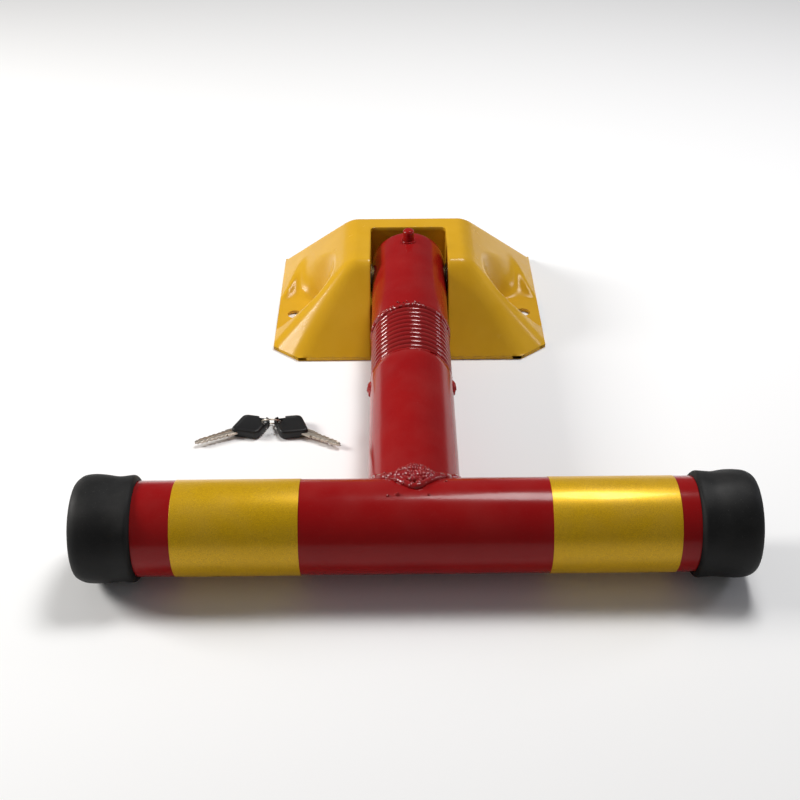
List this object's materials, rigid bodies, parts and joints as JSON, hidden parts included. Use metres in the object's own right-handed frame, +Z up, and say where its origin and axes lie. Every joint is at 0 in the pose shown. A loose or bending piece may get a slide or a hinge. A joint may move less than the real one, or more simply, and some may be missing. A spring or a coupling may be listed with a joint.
{
  "type": "folding parking lock",
  "caption": "Folding parking lock: a T-shaped barrier on a buffer spring that lies flat or stands up from a ground-anchored base, with a key lock and its keys.",
  "frame": {"origin": "centre of the base cover's footprint on the ground, on the keeper plate's underside", "axes": "+Z up, the folded barrier lies towards -Y, +X to the right seen from the crossbar's end"},
  "size_m": [0.4242, 0.4415, 0.0812],
  "materials": {
    "yellow_paint": "glossy powder coat",
    "red_paint": "glossy enamel",
    "gold_tape": "fine reflective grain",
    "black_rubber": "matte, moulded",
    "black_plastic": "satin, moulded",
    "zinc_steel": "zinc plated",
    "bare_steel": "bare, oiled",
    "bush_brass": "turned",
    "nickel": "nickel plated, worn"
  },
  "bodies": {
    "base": {"base_cover": "yellow_paint", "hinge_channel": "yellow_paint", "keeper_plate": "yellow_paint", "axle_bolt": "zinc_steel", "axle_washer_left": "zinc_steel", "axle_washer_right": "zinc_steel", "axle_nut": "zinc_steel"},
    "stub": {"stub_tube": "red_paint", "stub_end_plate": "red_paint", "limit_stud": "red_paint", "axle_bush_left": "bush_brass", "axle_bush_right": "bush_brass", "stub_spigot": "bare_steel", "lock_barrel": "bush_brass", "lock_nut": "zinc_steel", "bolt_guide": "bare_steel"},
    "lock_plug": {"lock_plug": "bush_brass", "lock_cam": "zinc_steel", "cam_screw": "zinc_steel"},
    "lock_bolt": {"lock_bolt": "bare_steel"},
    "spring": {"coil_spring": "red_paint"},
    "post": {"post_spigot": "bare_steel", "post_tube": "red_paint", "plug_weld_left": "red_paint", "plug_weld_right": "red_paint", "tee_weld": "red_paint", "crossbar_tube": "red_paint", "tape_left": "gold_tape", "tape_right": "gold_tape", "end_cap_left": "black_rubber", "end_cap_right": "black_rubber"},
    "key_ring": {"key_ring": "nickel"},
    "key_a": {"key_head_a": "black_plastic", "key_blade_a": "nickel"},
    "key_b": {"key_head_b": "black_plastic", "key_blade_b": "nickel"}
  },
  "joints": [
    {"name": "arm_hinge", "type": "hinge", "parent": "base", "child": "stub", "pos_m": [0, -0.021, 0.041], "axis": [-1, 0, 0], "range_deg": [0, 91.1]},
    {"name": "lock_turn", "type": "hinge", "parent": "stub", "child": "lock_plug", "pos_m": [0, -0.07299, 0.03997], "axis": [0, -0.0198, 0.9998], "range_deg": [0, 90]},
    {"name": "bolt_slide", "type": "slide", "parent": "stub", "child": "lock_bolt", "axis": [0, 0.9998, 0.0198], "range_m": [0, 0.01202]},
    {"name": "spring_nod", "type": "hinge", "parent": "stub", "child": "spring", "pos_m": [0, -0.13948, 0.03865], "axis": [1, 0, 0], "range_deg": [-15, 15], "stiffness_Nm_per_rad": 60, "deforming": ["coil_spring"]},
    {"name": "spring_sway", "type": "hinge", "parent": "spring", "child": "post", "pos_m": [0, -0.13948, 0.03865], "axis": [0, -0.0198, 0.9998], "range_deg": [-15, 15], "stiffness_Nm_per_rad": 60, "deforming": ["coil_spring"]},
    {"name": "key_lift", "type": "slide", "parent": "base", "child": "key_ring", "axis": [0, 0, 1], "range_m": [0, 0.05]},
    {"name": "key_a_swing", "type": "hinge", "parent": "key_ring", "child": "key_a", "pos_m": [-0.11003, -0.17101, 0.0035], "axis": [0, 0, 1], "range_deg": [-3, 3]},
    {"name": "key_b_swing", "type": "hinge", "parent": "key_ring", "child": "key_b", "pos_m": [-0.09836, -0.17101, 0.0035], "axis": [0, 0, 1], "range_deg": [-3, 3]}
  ],
  "couplings": [
    {"joint": "lock_turn", "follows": "bolt_slide", "rad_per_m": 130.67}
  ]
}
